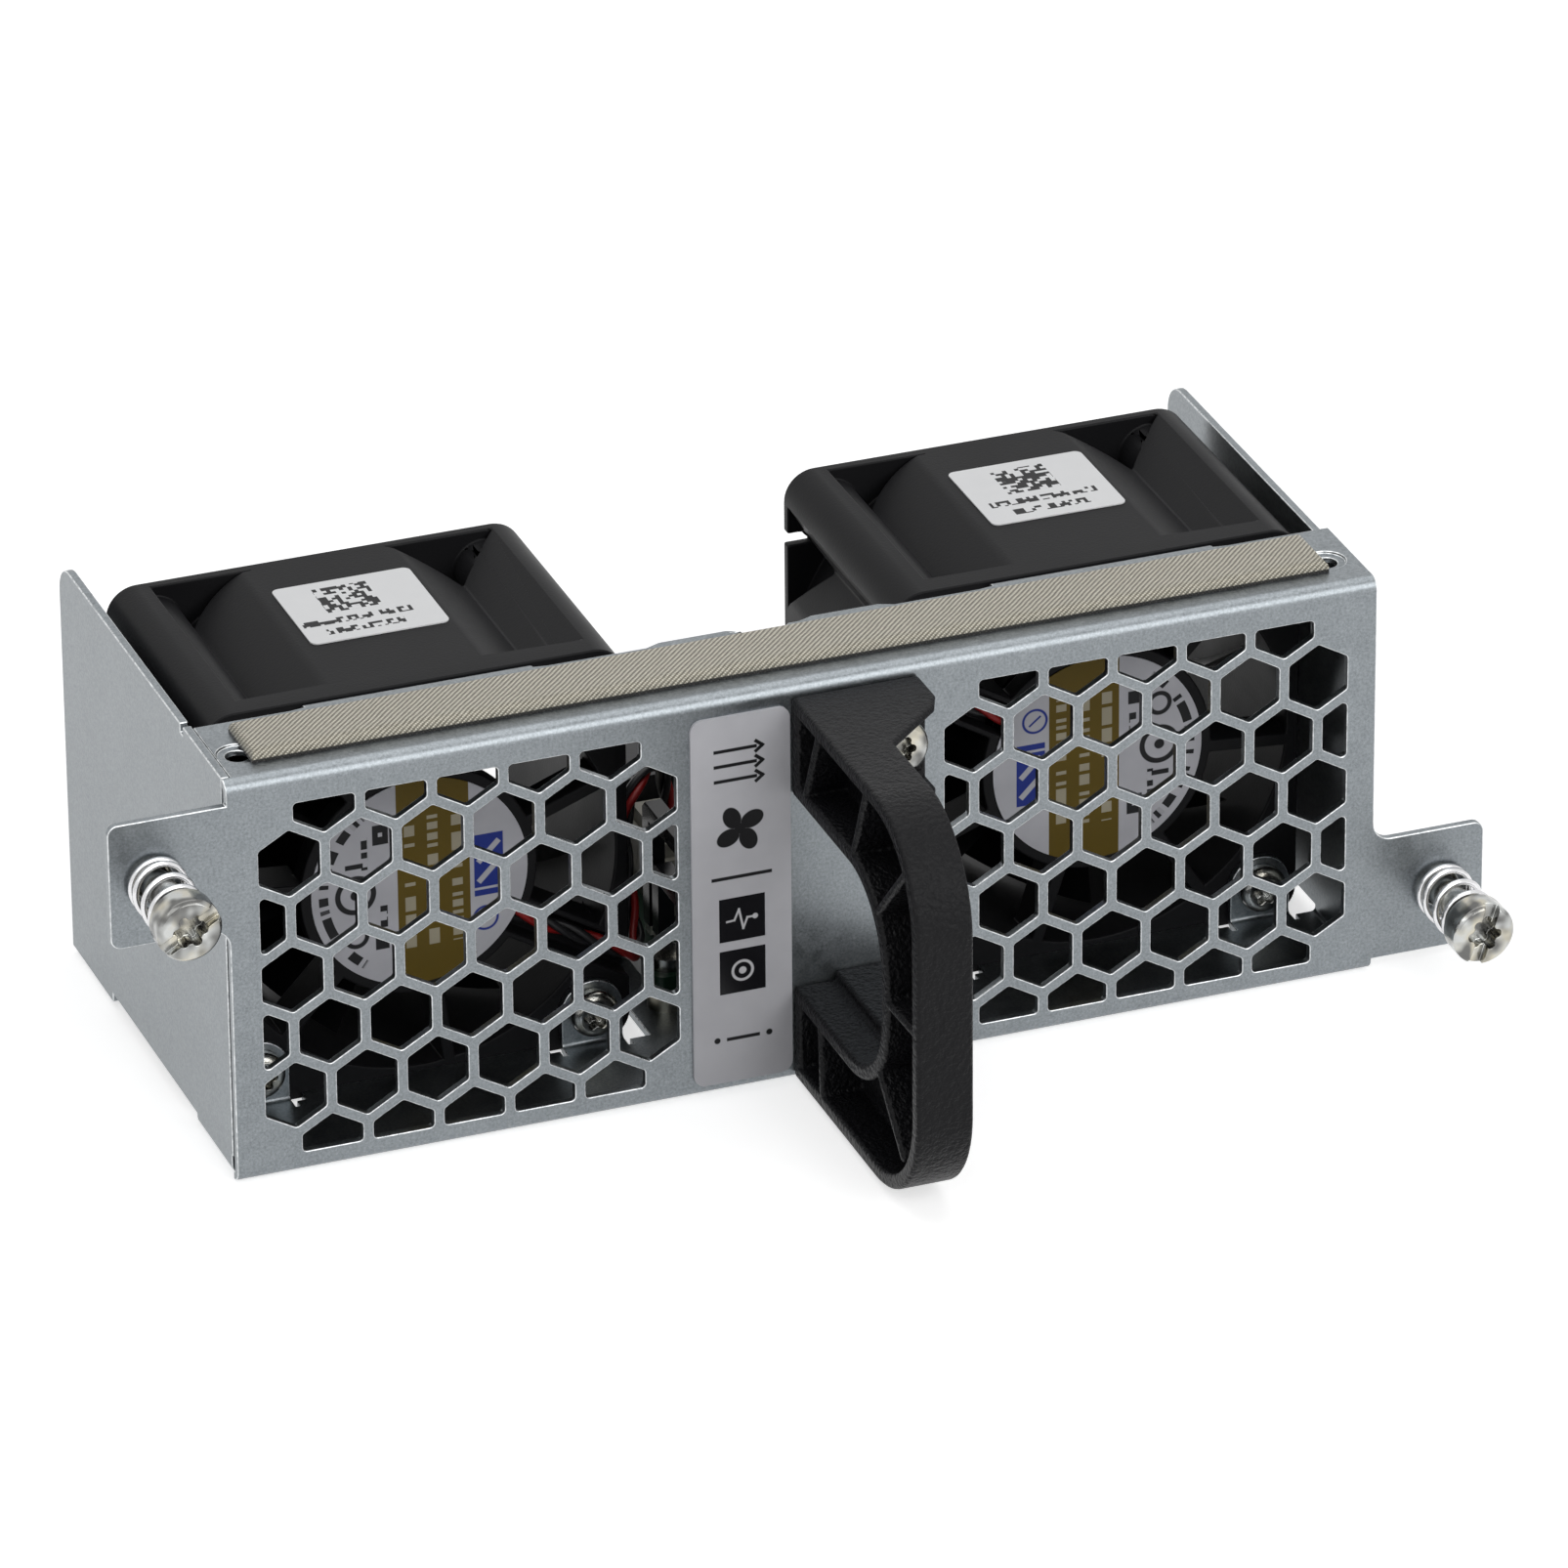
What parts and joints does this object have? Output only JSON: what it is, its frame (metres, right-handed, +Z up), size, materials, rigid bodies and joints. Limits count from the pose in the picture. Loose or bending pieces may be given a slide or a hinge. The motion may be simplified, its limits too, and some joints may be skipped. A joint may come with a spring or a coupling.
{
  "type": "switch fan tray",
  "caption": "Sheet steel fan tray with two axial fans behind hexagon grilles, a pull handle, a fabric gasket strip and sprung captive screws on its ears.",
  "frame": {"origin": "middle of the bounding box at the underside of the folded sheet", "axes": "+X to the right seen from the front, +Y to the rear (the way the tray is pushed in), +Z up"},
  "size_m": [0.132, 0.0788, 0.0413],
  "materials": {
    "galvanised_steel": "satin",
    "zinc_plate": "gloss",
    "black_textured_plastic": "matte",
    "black_frame_plastic": "satin",
    "impeller_plastic": "satin",
    "conductive_fabric": "satin",
    "grey_label": "satin",
    "white_label": "satin",
    "silver_label": "satin",
    "smoked_window": "gloss",
    "lamp": "gloss",
    "circuit_board": "satin",
    "white_connector": "satin",
    "black_connector": "satin",
    "gold_contact": "gloss",
    "bearing_steel": "gloss",
    "lamination_steel": "satin",
    "copper_wire": "satin",
    "rubber_magnet": "matte",
    "lead_sleeve": "satin",
    "nickel_spacer": "satin"
  },
  "bodies": {
    "tray": {"tray_shell": "galvanised_steel", "emi_gasket": "conductive_fabric", "front_label": "grey_label", "light_pipes": "smoked_window", "status_lamps": "lamp", "handle": "black_textured_plastic", "handle_screws": "zinc_plate", "fan_screws": "zinc_plate", "connector_board": "circuit_board", "board_spacers": "nickel_spacer", "board_screws": "zinc_plate", "lead_headers": "white_connector", "lead_plugs": "white_connector", "rear_connector": "black_connector", "connector_contacts": "gold_contact", "left_screw_spring": "bearing_steel", "left_fan_frame": "black_frame_plastic", "left_fan_bearings": "bearing_steel", "left_motor_board": "circuit_board", "left_stator_core": "lamination_steel", "left_stator_coils": "copper_wire", "left_hub_label": "silver_label", "left_top_label": "white_label", "left_fan_leads": "lead_sleeve", "right_screw_spring": "bearing_steel", "right_fan_frame": "black_frame_plastic", "right_fan_bearings": "bearing_steel", "right_motor_board": "circuit_board", "right_stator_core": "lamination_steel", "right_stator_coils": "copper_wire", "right_hub_label": "silver_label", "right_top_label": "white_label", "right_fan_leads": "lead_sleeve"},
    "left_rotor": {"left_impeller": "impeller_plastic", "left_rotor_shaft": "bearing_steel", "left_rotor_yoke": "lamination_steel", "left_rotor_magnet": "rubber_magnet"},
    "left_clip_carrier": {"left_retaining_clip": "zinc_plate"},
    "left_screw": {"left_captive_screw": "zinc_plate"},
    "right_rotor": {"right_impeller": "impeller_plastic", "right_rotor_shaft": "bearing_steel", "right_rotor_yoke": "lamination_steel", "right_rotor_magnet": "rubber_magnet"},
    "right_clip_carrier": {"right_retaining_clip": "zinc_plate"},
    "right_screw": {"right_captive_screw": "zinc_plate"}
  },
  "joints": [
    {"name": "left_fan_spin", "type": "hinge", "parent": "tray", "child": "left_rotor", "pos_m": [-0.0329, 0.0183, 0.0201], "axis": [0, 1, 0], "continuous": true},
    {"name": "left_screw_press", "type": "slide", "parent": "tray", "child": "left_clip_carrier", "axis": [0, 1, 0], "range_m": [0, 0.0035], "stiffness_N_per_m": 300, "springref_m": -0.002, "deforming": ["left_screw_spring"]},
    {"name": "left_screw_turn", "type": "hinge", "parent": "left_clip_carrier", "child": "left_screw", "pos_m": [-0.0618, 0, 0.0319], "axis": [0, 1, 0], "continuous": true},
    {"name": "right_fan_spin", "type": "hinge", "parent": "tray", "child": "right_rotor", "pos_m": [0.0329, 0.0183, 0.0201], "axis": [0, 1, 0], "continuous": true},
    {"name": "right_screw_press", "type": "slide", "parent": "tray", "child": "right_clip_carrier", "axis": [0, 1, 0], "range_m": [0, 0.0035], "stiffness_N_per_m": 300, "springref_m": -0.002, "deforming": ["right_screw_spring"]},
    {"name": "right_screw_turn", "type": "hinge", "parent": "right_clip_carrier", "child": "right_screw", "pos_m": [0.0618, 0, 0.0073], "axis": [0, 1, 0], "continuous": true}
  ]
}
